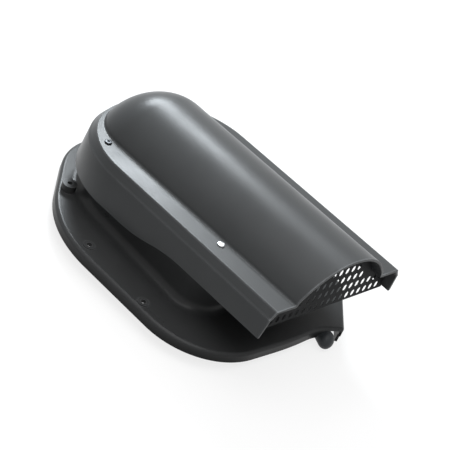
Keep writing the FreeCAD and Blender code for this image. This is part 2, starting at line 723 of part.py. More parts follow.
def build_grille():
    """Slotted plate that fills the hood's section a little behind the mouth."""
    body = new_body("mouth_grille")
    gap = wall + size("grille_clearance")
    reach = size("mouth_reach") - size("grille_setback") / cosine(rake)
    body.Placement = FreeCAD.Placement(
        FreeCAD.Vector(), FreeCAD.Rotation(FreeCAD.Vector(1, 0, 0), rake.number - pitch.number))
    bind(body, "Placement.Rotation.Angle", rake - pitch)
    bind(body, "Placement.Base.y", flange_centre - reach * cosine(pitch))
    bind(body, "Placement.Base.z", size("ledge_height") + reach * sine(pitch))

    half_arch_in = half_barrel - gap
    side = size("barrel_side_radius") - gap
    spring = size("barrel_spring")
    rise = size("barrel_height") + spring - gap
    flank = [(half_front_hem - gap, -size("front_hem_drop")),
             (half_step - gap, -(size("step_drop") + inner_step)),
             (half_band - gap, -(band_drop + inner_step)),
             (half_ledge - gap, -gap),
             (half_arch_in, -gap),
             (half_arch_in, -spring)]
    outline = new_sketch(body, "grille_outline", "XZ_Plane")
    crown = ((half_arch_in.number - side.number) ** 2 + rise.number ** 2 - side.number ** 2) \
        / (2 * (rise.number - side.number))
    lean = math.atan2(crown - rise.number, half_arch_in.number - side.number)
    up = FreeCAD.Vector(0, 0, 1)
    shift = half_arch_in.number - side.number
    right = outline.addGeometry(Part.ArcOfCircle(
        Part.Circle(FreeCAD.Vector(shift, -spring.number, 0), up, side.number), 0, lean))
    top = outline.addGeometry(Part.ArcOfCircle(
        Part.Circle(FreeCAD.Vector(0, rise.number - crown - spring.number, 0), up, crown),
        lean, math.pi - lean))
    left = outline.addGeometry(Part.ArcOfCircle(
        Part.Circle(FreeCAD.Vector(-shift, -spring.number, 0), up, side.number), math.pi - lean, math.pi))
    corners = [(-x, y) for x, y in reversed(flank)] + flank
    points = [FreeCAD.Vector(x.number, y.number, 0) for x, y in corners]
    lines = [outline.addGeometry(Part.LineSegment(a, b)) for a, b in zip(points, points[1:])]
    for one, two in zip(lines, lines[1:]):
        outline.addConstraint(Sketcher.Constraint("Coincident", one, 2, two, 1))
    for item, corner in zip(lines, corners):
        hold(outline, item, 1, *corner)
    hold(outline, lines[-1], 2, *corners[-1])
    outline.addConstraint(Sketcher.Constraint("Coincident", left, 2, lines[0], 1))
    outline.addConstraint(Sketcher.Constraint("Coincident", right, 1, lines[-1], 2))
    outline.addConstraint(Sketcher.Constraint("Tangent", right, 2, top, 1))
    outline.addConstraint(Sketcher.Constraint("Tangent", top, 2, left, 1))
    for item, middle in ((right, half_arch_in - side), (left, side - half_arch_in)):
        hold(outline, item, 3, middle, -spring)
    crown_size = (((half_arch_in - side) * (half_arch_in - side) + rise * rise - side * side)
                  / ((rise - side) * 2))
    set_radius(outline, top, crown_size)
    feature(body, "Pad", "plate", outline, Length=size("grille_thickness"), Reversed=True)

    doc.recompute()
    slots = new_sketch(body, "slot_outlines", "XZ_Plane")
    for x, z in slot_places(flank, half_arch_in.number, rise.number, side.number, crown, spring.number):
        add_slot(slots, x, z)
    feature(body, "Pocket", "slots", slots, Type="ThroughAll", Midplane=True)
    return body


def slot_places(flank, across, rise, side, crown, spring):
    """Centres of the slots that fit inside the plate with the margin all round."""
    half_w = size("slot_width").number / 2 + size("slot_margin").number
    half_l = size("slot_length").number / 2 + size("slot_margin").number
    step_x, step_z = size("slot_pitch_x").number, size("slot_pitch_z").number
    floor = flank[0][1].number

    def half_width_at(z):
        """Half width of the plate at a height."""
        if z <= flank[3][1].number:
            pairs = zip(flank, flank[1:4])
            for (low_x, low_z), (high_x, high_z) in pairs:
                if low_z.number <= z <= high_z.number:
                    share = (z - low_z.number) / (high_z.number - low_z.number)
                    return low_x.number + share * (high_x.number - low_x.number)
        above = z + spring
        if above <= 0:
            return across
        if above < side * math.sin(math.atan2(crown - rise, across - side)):
            return across - side + math.sqrt(side ** 2 - above ** 2)
        return math.sqrt(max(crown ** 2 - (above - rise + crown) ** 2, 0.0))

    places = []
    z = floor + half_l
    while z + half_l <= rise - spring:
        room = min(half_width_at(z - half_l), half_width_at(z + half_l))
        if z - half_l < flank[3][1].number < z + half_l:
            room = min(room, across)
        count = int((room - half_w) // step_x) if room > half_w else -1
        places += [(column * step_x, z) for column in range(-count, count + 1)]
        z += step_z
    return places


def add_slot(sketch, x, z):
    """One upright slot with pointed ends."""
    half_w, half_l = size("slot_width").number / 2, size("slot_length").number / 2
    straight = half_l - half_w
    corners = [(0, half_l), (-half_w, straight), (-half_w, -straight),
               (0, -half_l), (half_w, -straight), (half_w, straight)]
    points = [FreeCAD.Vector(x + dx, z + dz, 0) for dx, dz in corners]
    sketch.addGeometry([Part.LineSegment(a, b) for a, b in zip(points, points[1:] + points[:1])])


def build_screws():
    """Four low-headed screws through the ledge into the posts, in one group."""
    head = size("screw_head_diameter") / 2
    shank = size("screw_shank_diameter") / 2
    screws = []
    for number, (x, y) in enumerate(screw_places):
        body = new_body(f"hood_screw_{number}")
        outline = new_sketch(body, f"screw_outline_{number}", "XZ_Plane")
        edge = size("screw_head_height") / 2
        tip = wall - size("screw_length")
        polygon(outline, [(ZERO, tip), (shank, tip), (shank, ZERO), (head, ZERO), (head, edge),
                          (head - edge, size("screw_head_height")), (ZERO, size("screw_head_height"))])
        feature(body, "Revolution", f"screw_{number}", outline, Angle=360,
                ReferenceAxis=(outline, ["V_Axis"]))
        place_hood_frame(body)
        bind(body, "Placement.Base.x", x)
        bind(body, "Placement.Base.y", flange_centre + y * cosine(pitch))
        bind(body, "Placement.Base.z", size("ledge_height") - y * sine(pitch))
        screws.append(body)
    group = doc.addObject("Part::Compound", "hood_screws")
    group.Label = "hood_screws"
    group.Links = screws
    return group


def build_buffer():
    """Round buffer under the flange, with a bevelled front edge."""
    body = new_body("corner_buffer")
    bind(body, "Placement.Base.x", size("buffer_x"))
    bind(body, "Placement.Base.y", flange_centre - buffer_face)
    bind(body, "Placement.Base.z", buffer_radius)
    outline = new_sketch(body, "buffer_outline", "YZ_Plane")
    bevel = size("buffer_bevel")
    polygon(outline, [(ZERO, ZERO), (ZERO, buffer_radius - bevel), (bevel, buffer_radius),
                      (size("buffer_length"), buffer_radius), (size("buffer_length"), ZERO)])
    feature(body, "Revolution", "rod", outline, Angle=360, ReferenceAxis=(outline, ["H_Axis"]))
    return body


def check(items):
    """Stop if any object failed, any cut took nothing away or any sub-part has no sound shape."""
    cuts = ("PartDesign::Pocket", "PartDesign::Groove", "PartDesign::SubtractiveLoft")
    least_cut = 1.0
    for item in doc.Objects:
        if {"Invalid", "Error"} & set(item.State):
            raise RuntimeError(f"{item.Name} failed: {item.State}")
        if item.TypeId in cuts and item.BaseFeature.Shape.Volume - item.Shape.Volume < least_cut:
            raise RuntimeError(f"{item.Name} cut nothing")
    for item in items:
        if item.Shape.isNull() or not item.Shape.isValid():
            raise RuntimeError(f"{item.Label} has no sound shape")


def main():
    nodes = [build_base(), build_hood(), build_grille(), build_screws(), build_buffer()]
    doc.recompute()
    check(nodes)
    os.makedirs("parts", exist_ok=True)
    for node in nodes:
        node.Shape.exportStep(f"parts/{node.Label}.step")
        box = node.Shape.BoundBox
        print(node.Label, len(node.Shape.Solids), round(node.Shape.Volume), box)


main()
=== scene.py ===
"""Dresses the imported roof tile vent: modelled hood, grille sheet, screws, buffer and finishes."""

import math

import bmesh
import bpy
from bpy.props import FloatProperty, FloatVectorProperty, PointerProperty
from bpy.types import Operator, Panel, PropertyGroup
from mathutils import Matrix, Vector


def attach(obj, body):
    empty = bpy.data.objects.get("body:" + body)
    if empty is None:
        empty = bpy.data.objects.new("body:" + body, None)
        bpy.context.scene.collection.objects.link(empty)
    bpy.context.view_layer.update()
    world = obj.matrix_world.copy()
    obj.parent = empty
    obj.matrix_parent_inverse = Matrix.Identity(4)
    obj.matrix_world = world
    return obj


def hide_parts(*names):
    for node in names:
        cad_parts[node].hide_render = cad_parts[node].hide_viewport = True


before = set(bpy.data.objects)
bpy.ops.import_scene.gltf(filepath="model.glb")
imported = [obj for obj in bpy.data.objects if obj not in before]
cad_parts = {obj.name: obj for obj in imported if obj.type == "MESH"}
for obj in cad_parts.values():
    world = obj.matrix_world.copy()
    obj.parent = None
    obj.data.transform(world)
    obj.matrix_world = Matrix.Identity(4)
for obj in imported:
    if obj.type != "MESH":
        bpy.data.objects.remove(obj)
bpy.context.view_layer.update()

bl_info = {
    "name": "Roof tile vent",
    "version": (1, 0, 0),
    "blender": (4, 5, 0),
    "location": "3D View > Sidebar > Vent",
    "description": "Models and finishes a roof tile vent around its packed frame",
    "category": "Object",
}

MM = 0.001
NEAR = 1e-5


class VentHoodSettings(PropertyGroup):
    """Sizes of the hood, drawn about its ledge before it is pitched."""

    pitch: FloatProperty(name="Pitch", description="Rise of the hood towards its mouth",
                         default=math.radians(3.1), subtype="ANGLE")
    flange_centre: FloatProperty(name="Flange centre",
                                 description="Middle of the flange along the slope",
                                 default=0.010931, unit="LENGTH")
    ledge_height: FloatProperty(name="Ledge height",
                                description="Ledge above the spigot's foot, over the flange centre",
                                default=0.1008, unit="LENGTH")
    wall: FloatProperty(name="Wall", description="Thickness of the moulding", default=0.0025,
                        unit="LENGTH")
    barrel_width: FloatProperty(name="Barrel width", description="Width of the barrel at the ledge",
                                default=0.1324, unit="LENGTH")
    barrel_height: FloatProperty(name="Barrel height",
                                 description="Crown of the barrel above the ledge",
                                 default=0.0398, unit="LENGTH")
    mouth_side: FloatProperty(name="Mouth side radius",
                              description="Radius of the arch near the ledge at the mouth",
                              default=0.010, unit="LENGTH")
    dome_side: FloatProperty(name="Dome side radius",
                             description="Radius of the arch near the ledge at the dome",
                             default=0.013, unit="LENGTH")
    barrel_spring: FloatProperty(name="Barrel spring",
                                 description="Centre of the side radius below the ledge",
                                 default=0.0015, unit="LENGTH")
    barrel_root: FloatProperty(name="Barrel root",
                               description="Rounding where the barrel meets the ledge",
                               default=0.0016, unit="LENGTH")
    dome_centre: FloatProperty(name="Dome centre",
                               description="Axis of the dome behind the flange centre",
                               default=0.086, unit="LENGTH")
    dome_depth: FloatProperty(name="Dome depth", description="Reach of the dome behind its axis",
                              default=0.0545, unit="LENGTH")
    ledge_width: FloatProperty(name="Ledge width", description="Outer width of the ledge",
                               default=0.1846, unit="LENGTH")
    ledge_back: FloatProperty(name="Ledge back centre",
                              description="Centre of the skirt's rounded back",
                              default=0.051, unit="LENGTH")
    ledge_round: FloatProperty(name="Ledge rounding",
                               description="Rounding of the ledge's outer edge",
                               default=0.0009, unit="LENGTH")
    step_width: FloatProperty(name="Step width", description="Outer width at the step in the flank",
                              default=0.1976, unit="LENGTH")
    step_drop: FloatProperty(name="Step drop", description="Step below the ledge", default=0.0094,
                             unit="LENGTH")
    step_tread: FloatProperty(name="Step tread", description="Width of the step", default=0.0018,
                              unit="LENGTH")
    step_tread_drop: FloatProperty(name="Step tread drop",
                                   description="Fall of the step across its width",
                                   default=0.0018, unit="LENGTH")
    hem_width: FloatProperty(name="Hem width", description="Outer width at the lowest hem",
                             default=0.2054, unit="LENGTH")
    hem_drop: FloatProperty(name="Hem drop", description="Hem below the ledge at the back",
                            default=0.0435, unit="LENGTH")
    front_hem_drop: FloatProperty(name="Front hem drop",
                                  description="Hem below the ledge at the mouth",
                                  default=0.0325, unit="LENGTH")
    sweep_front: FloatProperty(name="Sweep front", description="Front end of the hem's sweep",
                               default=-0.070, unit="LENGTH")
    sweep_back: FloatProperty(name="Sweep back", description="Back end of the hem's sweep",
                              default=0.020, unit="LENGTH")
    mouth_reach: FloatProperty(name="Mouth reach",
                               description="Mouth ahead of the flange centre at ledge level",
                               default=0.1864, unit="LENGTH")
    mouth_rake: FloatProperty(name="Mouth rake", description="Forward lean of the mouth",
                              default=math.radians(6.3), subtype="ANGLE")
    edge_round: FloatProperty(name="Edge rounding",
                              description="Rounding of the step, the hem and the mouth's lip",
                              default=0.0006, unit="LENGTH")


class VentScrewSettings(PropertyGroup):
    """Sizes and places of the four screws in the ledge, in the hood's own frame."""

    head: FloatProperty(name="Head", description="Diameter of the head", default=0.008,
                        unit="LENGTH")
    head_height: FloatProperty(name="Head height", description="Head above the ledge",
                               default=0.0018, unit="LENGTH")
    socket: FloatProperty(name="Socket", description="Diameter of the drive socket", default=0.003,
                          unit="LENGTH")
    shank: FloatProperty(name="Shank", description="Diameter of the shank", default=0.004,
                         unit="LENGTH")
    length: FloatProperty(name="Length", description="Shank below the ledge", default=0.0135,
                          unit="LENGTH")
    front_place: FloatVectorProperty(name="Front pair",
                                     description="Place of the right front screw", size=2,
                                     default=(0.074, -0.086), unit="LENGTH")
    rear_place: FloatVectorProperty(name="Rear pair",
                                    description="Place of the right rear screw", size=2,
                                    default=(0.07402, 0.08855), unit="LENGTH")


class VentGrilleSettings(PropertyGroup):
    """Sizes of the slotted sheet in the mouth."""

    thickness: FloatProperty(name="Thickness", description="Thickness of the sheet", default=0.0015,
                             unit="LENGTH")


class VentBufferSettings(PropertyGroup):
    """Sizes and place of the buffer under the front corner."""

    radius: FloatProperty(name="Radius", description="Radius of the rod", default=0.0112,
                          unit="LENGTH")
    aside: FloatProperty(name="Aside", description="Rod to the right of the middle", default=0.0521,
                         unit="LENGTH")
    height: FloatProperty(name="Height", description="Rod above the spigot's foot", default=0.0113,
                          unit="LENGTH")
    front: FloatProperty(name="Front", description="Tip of the domed end", default=-0.1695,
                         unit="LENGTH")
    back: FloatProperty(name="Back", description="Flat end under the flange", default=-0.140,
                        unit="LENGTH")
    taper: FloatProperty(name="Taper", description="Width of the flat end against the rod",
                         default=0.55, min=0, max=1, subtype="FACTOR")
    pull: FloatProperty(name="Pull",
                        description="Right of and above the rod, where its flat end shrinks to",
                        default=0.006, unit="LENGTH")


class VentFinishSettings(PropertyGroup):
    """Colours of the vent's plastics, rubber and plating."""

    hood_colour: FloatVectorProperty(name="Hood", description="Dark grey moulded plastic", size=3,
                                     default=(0.040, 0.0418, 0.043), subtype="COLOR", min=0, max=1)
    base_colour: FloatVectorProperty(name="Base", description="Black moulded plastic", size=3,
                                     default=(0.035, 0.0358, 0.0365), subtype="COLOR", min=0, max=1)
    grille_colour: FloatVectorProperty(name="Grille",
                                       description="Black plastic of the grille", size=3,
                                       default=(0.006, 0.0065, 0.007), subtype="COLOR",
                                       min=0, max=1)
    plating_colour: FloatVectorProperty(name="Screw plating",
                                        description="Bright plating of the screws", size=3,
                                        default=(0.78, 0.79, 0.80), subtype="COLOR", min=0, max=1)
    dull_plating_colour: FloatVectorProperty(name="Dull plating",
                                             description="Blackened plating of the rear screws",
                                             size=3, default=(0.035, 0.037, 0.04),
                                             subtype="COLOR", min=0, max=1)
    rubber_colour: FloatVectorProperty(name="Buffer",
                                       description="Grey rubber of the buffer", size=3,
                                       default=(0.022, 0.025, 0.028), subtype="COLOR",
                                       min=0, max=1)


class VentStageSettings(PropertyGroup):
    """Camera, lamps and floor."""

    azimuth: FloatProperty(name="Azimuth", description="Camera's turn about the upright axis",
                           default=math.radians(-58.25), subtype="ANGLE")
    elevation: FloatProperty(name="Elevation", description="Camera's height angle",
                             default=math.radians(33.96), subtype="ANGLE")
    roll: FloatProperty(name="Roll", description="Camera's turn about its own axis",
                        default=math.radians(25.61), subtype="ANGLE")
    distance: FloatProperty(name="Distance", description="Camera to the middle of the flange",
                            default=1.89, unit="LENGTH")
    aside: FloatProperty(name="Aside", description="Camera's move along its own width",
                         default=0.04154, unit="LENGTH")
    above: FloatProperty(name="Above", description="Camera's move along its own height",
                         default=0.01905, unit="LENGTH")
    aim_height: FloatProperty(name="Aim height",
                              description="Rim level that the camera is set from",
                              default=0.0134, unit="LENGTH")
    lens: FloatProperty(name="Lens", description="Focal length on a 36 mm sensor in millimetres",
                        default=144.0)
    floor_colour: FloatVectorProperty(name="Floor", description="Pale floor", size=3,
                                      default=(0.93, 0.93, 0.93), subtype="COLOR",
                                      min=0, max=1)
    sky: FloatProperty(name="Sky", description="Even light from all round", default=0.32)
    floor_glow: FloatProperty(name="Floor glow",
                              description="Share of the floor's white that no shadow takes away",
                              default=0.80, min=0, max=1, subtype="FACTOR")
    floor_bounce: FloatVectorProperty(name="Floor bounce",
                                      description="Floor as it lights the vent from below", size=3,
                                      default=(0.45, 0.45, 0.45), subtype="COLOR", min=0, max=1)
    key_place: FloatVectorProperty(name="Key place",
                                   description="Softbox behind the right side of the vent", size=3,
                                   default=(0.372, 0.620, 0.620), subtype="TRANSLATION")
    key_width: FloatProperty(name="Key width", description="Softbox across the vent", default=0.22,
                             unit="LENGTH")
    key_length: FloatProperty(name="Key length", description="Softbox along the vent", default=0.40,
                              unit="LENGTH")
    key_power: FloatProperty(name="Key power", description="Power of the softbox in watts",
                             default=10.5)
    rear_power: FloatProperty(name="Rear power",
                              description="Power of the high rear softbox in watts", default=10.0)
    top_power: FloatProperty(name="Top power", description="Power of the overhead softbox in watts",
                             default=42.0)
    fill_power: FloatProperty(name="Fill power",
                              description="Power of the softbox before the left side in watts",
                              default=2.5)


def only(piece):
    """Select one object and make it active."""
    if bpy.context.object and bpy.context.object.mode != "OBJECT":
        bpy.ops.object.mode_set(mode="OBJECT")
    bpy.ops.object.select_all(action="DESELECT")
    piece.select_set(True)
    bpy.context.view_layer.objects.active = piece


def edit(piece):
    """Open a piece in edit mode with nothing selected."""
    only(piece)
    bpy.ops.object.mode_set(mode="EDIT")
    bpy.ops.mesh.select_all(action="DESELECT")


def choose(piece, kind, test):
    """Select the vertices, edges or faces of the open mesh that pass a test."""
    bpy.ops.mesh.select_mode(type={"verts": "VERT", "edges": "EDGE", "faces": "FACE"}[kind])
    bpy.ops.mesh.select_all(action="DESELECT")
    mesh = bmesh.from_edit_mesh(piece.data)
    picked = [item for item in getattr(mesh, kind) if test(item)]
    for item in picked:
        item.select_set(True)
    mesh.select_flush_mode()
    bmesh.update_edit_mesh(piece.data)
    if not picked:
        raise RuntimeError(f"{piece.name}: nothing to select")


def every(points, test):
    """True where all the vertices of an edge or face pass a test on their place."""
    return all(test(vertex.co) for vertex in points.verts)


def settle(piece, place):
    """Move a finished piece by a matrix and leave its object at the origin."""
    only(piece)
    piece.matrix_world = place @ piece.matrix_world
    bpy.ops.object.transform_apply(location=True, rotation=True, scale=True)


def add_modifier(piece, kind, **settings):
    """Add a modifier with its settings and apply it."""
    only(piece)
    item = piece.modifiers.new(kind.title(), kind)
    for name, value in settings.items():
        setattr(item, name, value)
    bpy.ops.object.modifier_apply(modifier=item.name)


def dress(piece, material):
    """Give a piece one material."""
    piece.data.materials.clear()
    piece.data.materials.append(material)


def hood_place(hood):
    """Matrix from the hood's ledge to the vent."""
    lift = Matrix.Translation((0, hood.flange_centre, hood.ledge_height))
    return lift @ Matrix.Rotation(-hood.pitch, 4, "X")


class Nodes:
    """Short way to add and join shader nodes."""

    def __init__(self, material):
        material.use_nodes = True
        self.tree = material.node_tree
        self.tree.nodes.clear()

    def add(self, kind, **inputs):
        node = self.tree.nodes.new(kind)
        for name, value in inputs.items():
            if name in node.bl_rna.properties:
                setattr(node, name, value)
            else:
                self.feed(node.inputs[name.replace("_", " ")], value)
        return node

    def feed(self, socket, value):
        if isinstance(value, bpy.types.NodeSocket):
            self.tree.links.new(value, socket)
        else:
            socket.default_value = value


def blotches(nodes, coordinates, scale, detail, low, high):
    """Noise stretched between two values."""
    noise = nodes.add("ShaderNodeTexNoise", Vector=coordinates, Scale=scale, Detail=detail,
                      Roughness=0.55)
    spread = nodes.add("ShaderNodeMapRange", Value=noise.outputs["Fac"], From_Min=0.3, From_Max=0.7,
                       To_Min=low, To_Max=high)
    return spread.outputs["Result"]


def moulded_plastic(name, colour, gloss, grain, wear_and_highlight_colour, shine, painted_shade_heights=None):
    """Grained plastic with faint blotches, paler edges that are partly wear and partly a painted
    highlight where edges and creases face up, and painted shade that darkens it between two
    heights.
    """
    material = bpy.data.materials.new(name)
    nodes = Nodes(material)
    place = nodes.add("ShaderNodeTexCoord").outputs["Object"]

    # Paler edges: partly wear, partly a painted highlight on rounded edges and creases that face
    # up.
    edge = nodes.add("ShaderNodeBevel", Radius=0.0032, samples=6)
    flat = nodes.add("ShaderNodeNewGeometry")
    same = nodes.add("ShaderNodeVectorMath", operation="DOT_PRODUCT")
    nodes.feed(same.inputs[0], edge.outputs["Normal"])
    nodes.feed(same.inputs[1], flat.outputs["Normal"])
    rim = nodes.add("ShaderNodeMapRange", Value=same.outputs["Value"],
                    From_Min=0.998, From_Max=0.94, To_Min=0.0, To_Max=1.0)
    upright = nodes.add("ShaderNodeSeparateXYZ", Vector=flat.outputs["Normal"])
    facing_up = nodes.add("ShaderNodeMapRange", Value=upright.outputs["Z"],
                        From_Min=0.05, From_Max=0.45, To_Min=0.1, To_Max=1.0)
    patchy = blotches(nodes, place, scale=60.0, detail=3.0, low=0.35, high=1.0)
    wear_and_highlight_edges = nodes.add("ShaderNodeMath", operation="MULTIPLY")
    nodes.feed(wear_and_highlight_edges.inputs[0], rim.outputs["Result"])
    nodes.feed(wear_and_highlight_edges.inputs[1], facing_up.outputs["Result"])
    wear_and_highlight = nodes.add("ShaderNodeMath", operation="MULTIPLY")
    nodes.feed(wear_and_highlight.inputs[0], wear_and_highlight_edges.outputs["Value"])
    nodes.feed(wear_and_highlight.inputs[1], patchy)

    dark = tuple(0.9 * c for c in colour) + (1.0,)
    light = tuple(1.1 * c for c in colour) + (1.0,)
    tone = nodes.add("ShaderNodeMix", data_type="RGBA")
    nodes.feed(tone.inputs[0], blotches(nodes, place, scale=9.0, detail=4.0, low=0.0, high=1.0))
    nodes.feed(tone.inputs[6], dark)
    nodes.feed(tone.inputs[7], light)
    wear_and_highlight_mix = nodes.add("ShaderNodeMix", data_type="RGBA")
    nodes.feed(wear_and_highlight_mix.inputs[0], wear_and_highlight.outputs["Value"])
    nodes.feed(wear_and_highlight_mix.inputs[6], tone.outputs[2])
    nodes.feed(wear_and_highlight_mix.inputs[7], wear_and_highlight_colour + (1.0,))
    finish = wear_and_highlight_mix.outputs[2]
    # Painted shade: the colour is darkened towards the bottom, down to 0.3 below the lower height.
    if painted_shade_heights:
        height = nodes.add("ShaderNodeSeparateXYZ", Vector=place)
        painted_shade_factor = nodes.add("ShaderNodeMapRange", Value=height.outputs["Z"],
                          From_Min=painted_shade_heights[0], From_Max=painted_shade_heights[1], To_Min=0.3, To_Max=1.0)
        foot = nodes.add("ShaderNodeVectorMath", operation="SCALE", Scale=painted_shade_factor.outputs["Result"])
        nodes.feed(foot.inputs[0], finish)
        finish = foot.outputs["Vector"]

    sheen = blotches(nodes, place, scale=22.0, detail=5.0, low=gloss - 0.04, high=gloss + 0.05)
    fine = nodes.add("ShaderNodeTexNoise", Vector=place, Scale=grain, Detail=2.0, Roughness=0.6)
    broad = nodes.add("ShaderNodeTexNoise", Vector=place, Scale=14.0, Detail=1.0, Roughness=0.4)
    sunk = nodes.add("ShaderNodeBump", Height=broad.outputs["Fac"], Strength=0.05, Distance=0.002)
    bump = nodes.add("ShaderNodeBump", Height=fine.outputs["Fac"], Strength=0.12, Distance=0.0003,
                     Normal=sunk.outputs["Normal"])
    shader = nodes.add("ShaderNodeBsdfPrincipled", Base_Color=finish, Roughness=sheen,
                       Specular_IOR_Level=shine, Normal=bump.outputs["Normal"])
    nodes.add("ShaderNodeOutputMaterial", Surface=shader.outputs["BSDF"])
    return material


def plated_steel(name, colour):
    """Bright plating with fine turning marks and dull patches."""
    material = bpy.data.materials.new(name)
    nodes = Nodes(material)
    place = nodes.add("ShaderNodeTexCoord").outputs["Object"]
    dull = tuple(0.82 * c for c in colour) + (1.0,)
    tone = nodes.add("ShaderNodeMix", data_type="RGBA")
    nodes.feed(tone.inputs[0], blotches(nodes, place, scale=420.0, detail=3.0, low=0.0, high=1.0))
    nodes.feed(tone.inputs[6], dull)
    nodes.feed(tone.inputs[7], tuple(colour) + (1.0,))
    sheen = blotches(nodes, place, scale=600.0, detail=3.0, low=0.22, high=0.36)
    marks = nodes.add("ShaderNodeTexNoise", Vector=place, Scale=3000.0, Detail=2.0)
    bump = nodes.add("ShaderNodeBump", Height=marks.outputs["Fac"], Strength=0.15, Distance=0.0001)
    shader = nodes.add("ShaderNodeBsdfPrincipled", Base_Color=tone.outputs[2], Metallic=1.0,
                       Roughness=sheen, Normal=bump.outputs["Normal"])
    nodes.add("ShaderNodeOutputMaterial", Surface=shader.outputs["BSDF"])
    return material


class VENT_OT_hood(Operator):
    """Model the hood: skirt with a stepped flank, ledge, barrel and dome, raked mouth"""

    bl_idname = "vent.hood"
    bl_label = "Hood"

    ARC = 64
    RUN = 72
    RISE = 34
    SPARE = 0.02
    SMOOTH = math.radians(40)
    SHARP = math.radians(55)
    LEDGE_SLACK = 1e-4
    ROOT_SLACK = 0.003

    def execute(self, context):
        hood = context.scene.vent_hood
        skirt = self.skirt(hood)
        barrel = self.barrel(hood)
        piece = self.join(hood, skirt, barrel)
        piece.name = "hood_shell"
        settle(piece, hood_place(hood))
        colour = tuple(context.scene.vent_finish.hood_colour)
        # The hood's pale edge colour is partly wear and partly a painted highlight along the
        # ledge's edges and creases.
        dress(piece, moulded_plastic("hood_plastic", colour, gloss=0.33, grain=1600.0,
                                     wear_and_highlight_colour=(0.16, 0.168, 0.174), shine=0.16))
        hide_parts("hood")
        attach(piece, "root")
        return {"FINISHED"}

    def front(self, hood):
        """Front end of the blank, cut back later at the mouth."""
        return -(hood.mouth_reach + self.SPARE)

    def skirt(self, hood):
        """Open outline of the ledge, pulled down in rows to the hem."""
        half = hood.ledge_width / 2
        bpy.ops.object.select_all(action="DESELECT")
        bpy.ops.mesh.primitive_circle_add(vertices=2 * self.ARC, radius=half, fill_type="NOTHING",
                                          location=(0, hood.ledge_back, 0))
        piece = bpy.context.object
        settle(piece, Matrix())
        edit(piece)
        choose(piece, "verts", lambda v: v.co.y < hood.ledge_back - NEAR)
        bpy.ops.mesh.delete(type="VERT")
        self.pull_sides(piece, hood.ledge_back, self.front(hood))
        rows = ((hood.step_width / 2 - hood.step_tread, hood.step_drop - hood.step_tread_drop),
                (hood.step_width / 2, hood.step_drop),
                (hood.hem_width / 2, hood.hem_drop))
        across, depth = half, 0.0
        for width, drop in rows:
            choose(piece, "edges", lambda e: every(e, lambda p: abs(p.z + depth) < NEAR))
            bpy.ops.mesh.extrude_edges_move(TRANSFORM_OT_translate={"value": (0, 0, depth - drop)})
            bpy.ops.transform.resize(value=(width / across, width / across, 1),
                                     center_override=(0, hood.ledge_back, -drop))
            across, depth = width, drop
        self.sweep_hem(hood, piece)
        bpy.ops.object.mode_set(mode="OBJECT")
        return piece

    def pull_sides(self, piece, start, end):
        """Pull the ends of a half circle forward and divide the two straight sides."""
        choose(piece, "verts", lambda v: abs(v.co.y - start) < NEAR)
        bpy.ops.mesh.extrude_region_move(TRANSFORM_OT_translate={"value": (0, end - start, 0)})
        choose(piece, "edges",
               lambda e: abs(e.verts[0].co.y - e.verts[1].co.y) > 0.9 * (start - end))
        bpy.ops.mesh.subdivide(number_cuts=self.RUN - 1)

    def sweep_hem(self, hood, piece):
        """Lift the hem's points to the S that rises towards the mouth."""
        flare = (hood.hem_width - hood.step_width) / 2 / (hood.hem_drop - hood.step_drop)
        rise = hood.hem_drop - hood.front_hem_drop
        run = hood.sweep_back - hood.sweep_front
        radius = (rise ** 2 + run ** 2) / (4 * rise)
        mesh = bmesh.from_edit_mesh(piece.data)
        low = NEAR - hood.hem_drop
        hem = [v.co for v in mesh.verts if v.co.z < low]
        stations = {round(p.y, 5) for p in hem if p.y < hood.sweep_back}
        for y in sorted(stations):
            along = min(hood.sweep_back - y, run)
            if along < run / 2:
                lift = radius - math.sqrt(radius ** 2 - along ** 2)
            else:
                lift = rise - radius + math.sqrt(radius ** 2 - (run - along) ** 2)
            for side in (-1, 1):
                choose(piece, "verts",
                       lambda v: v.co.x * side > 0 and v.co.z < low and abs(v.co.y - y) < NEAR)
                bpy.ops.transform.translate(value=(-side * flare * lift, 0, lift))

    def arch(self, hood, side, y):
        """Right half of an arch section as a chain of points from its foot to the crown."""
        half = hood.barrel_width / 2
        rise = hood.barrel_height + hood.barrel_spring
        crown = ((half - side) ** 2 + rise ** 2 - side ** 2) / (2 * (rise - side))
        lean = math.atan2(crown - rise, half - side)
        foot = math.asin(hood.barrel_spring / side)
        lower, upper = side * (lean - foot), crown * (math.pi / 2 - lean)
        steps = round(self.RISE * lower / (lower + upper))
        bpy.ops.object.select_all(action="DESELECT")
        bpy.ops.mesh.primitive_plane_add(size=MM,
                                         location=(half - side + side * math.cos(foot), y, 0))
        piece = bpy.context.object
        settle(piece, Matrix())
        edit(piece)
        bpy.ops.mesh.select_all(action="SELECT")
        bpy.ops.mesh.merge(type="CENTER")
        bpy.ops.mesh.spin(steps=steps, angle=lean - foot,
                          center=(half - side, y, -hood.barrel_spring), axis=(0, 1, 0))
        bpy.ops.mesh.spin(steps=self.RISE - steps, angle=math.pi / 2 - lean,
                          center=(0, y, rise - crown - hood.barrel_spring), axis=(0, 1, 0))
        bpy.ops.mesh.select_all(action="SELECT")
        bpy.ops.mesh.remove_doubles(threshold=NEAR)
        return piece

